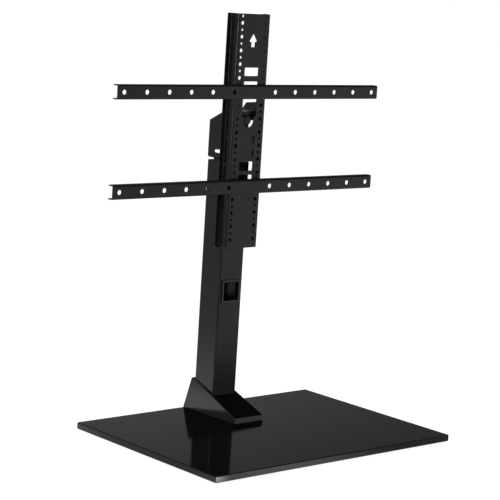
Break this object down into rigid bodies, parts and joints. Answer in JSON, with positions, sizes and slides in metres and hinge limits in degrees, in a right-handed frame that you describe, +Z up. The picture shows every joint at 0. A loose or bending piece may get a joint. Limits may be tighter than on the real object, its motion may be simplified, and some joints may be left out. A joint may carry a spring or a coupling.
{
  "type": "tv stand",
  "caption": "Table-top television stand: flat glossy base board, square column with cable opening, head that turns, and a perforated channel carrying two drilled cross rails.",
  "frame": {"origin": "on the floor under the middle of the overall box, which is the middle of the base board", "axes": "+X to the right along the rails, +Y to the back, +Z up; the television goes on the -Y side"},
  "size_m": [0.63, 0.4, 0.7728],
  "materials": {
    "black_lacquer": "high-gloss lacquer on board",
    "black_enamel": "fine-textured baked powder enamel",
    "black_moulding": "polished moulded ABS",
    "black_nylon": "moulded nylon",
    "black_rubber": "matt rubber",
    "black_oxide": "black oxide steel",
    "bright_zinc": "bright zinc plate"
  },
  "bodies": {
    "stand": {"base_board": "black_lacquer", "base_pad_front_left": "black_rubber", "base_pad_front_right": "black_rubber", "base_pad_rear_left": "black_rubber", "base_pad_rear_right": "black_rubber", "foot_plate": "black_enamel", "foot_bolt_front_left": "black_oxide", "foot_bolt_front_right": "black_oxide", "foot_bolt_rear_left": "black_oxide", "foot_bolt_rear_right": "black_oxide", "foot_washer_front_left": "bright_zinc", "foot_washer_front_right": "bright_zinc", "foot_washer_rear_left": "bright_zinc", "foot_washer_rear_right": "bright_zinc", "foot_cover": "black_moulding", "gusset_left": "black_enamel", "gusset_right": "black_enamel", "column": "black_enamel", "cable_bezel_front": "black_moulding", "cable_bezel_rear": "black_moulding", "column_top_plate": "black_enamel"},
    "head": {"swivel_disc": "black_nylon", "swivel_head": "black_enamel", "cross_plate": "black_enamel", "support_block": "black_nylon", "block_screw_left": "black_oxide", "block_screw_right": "black_oxide", "round_bumper": "black_nylon", "bumper_screw": "black_oxide", "tie_rod": "bright_zinc", "rod_sleeve_left": "black_nylon", "rod_sleeve_right": "black_nylon", "rod_clip_left": "black_oxide", "rod_clip_right": "black_oxide", "swivel_washer_upper": "bright_zinc", "swivel_washer_lower": "bright_zinc", "spring_washer_1": "black_oxide", "spring_washer_2": "black_oxide", "lock_nut": "bright_zinc", "swivel_bolt": "bright_zinc", "stop_pin": "bright_zinc"},
    "carriage": {"tv_channel": "black_enamel", "upper_rail": "black_enamel", "lower_rail": "black_enamel", "rail_boss_upper_left": "bright_zinc", "rail_boss_upper_right": "bright_zinc", "rail_boss_lower_left": "bright_zinc", "rail_boss_lower_right": "bright_zinc", "rail_washer_upper_left": "bright_zinc", "rail_washer_upper_right": "bright_zinc", "rail_washer_lower_left": "bright_zinc", "rail_washer_lower_right": "bright_zinc", "rail_screw_upper_left": "black_oxide", "rail_screw_upper_right": "black_oxide", "rail_screw_lower_left": "black_oxide", "rail_screw_lower_right": "black_oxide", "set_screw_left": "black_oxide", "set_screw_right": "black_oxide", "clinch_nut_left": "bright_zinc", "clinch_nut_right": "bright_zinc"}
  },
  "joints": [
    {"name": "swivel", "type": "hinge", "parent": "stand", "child": "head", "pos_m": [0, 0.15, 0.5019], "axis": [0, 0, 1], "range_deg": [-20, 20]},
    {"name": "height", "type": "slide", "parent": "head", "child": "carriage", "axis": [0, 0, 1], "range_m": [0, 0.05]}
  ]
}
